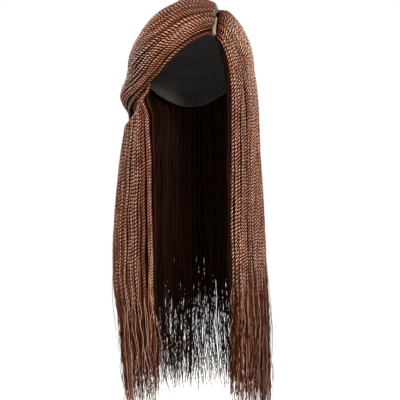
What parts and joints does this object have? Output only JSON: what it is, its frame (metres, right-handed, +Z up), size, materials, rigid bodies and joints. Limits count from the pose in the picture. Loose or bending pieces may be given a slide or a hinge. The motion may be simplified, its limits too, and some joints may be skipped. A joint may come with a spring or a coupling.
{
  "type": "braid wig",
  "caption": "Long side-parted wig of fine two-strand rope twists on a stretch cap, with a swept fringe, straight side and back falls and a strip of lace along the parting.",
  "frame": {"origin": "the crown of the head that wears it, at the inside of the cap's top", "axes": "+Z up from the crown, the face looks along -Y, +X towards the wearer's left; the hair hangs along -Z"},
  "size_m": [0.2362, 0.2163, 0.6237],
  "materials": {
    "twists": "chestnut synthetic hair in rope twists",
    "cap_net": "black stretch net",
    "lace": "pale fine lace"
  },
  "bodies": {
    "root": {"wig_cap": "cap_net", "lace_part": "lace", "swept_fringe": "twists", "right_back_fall": "twists", "left_front_fall": "twists", "left_back_fall": "twists", "right_front_fall": "twists"}
  },
  "joints": []
}
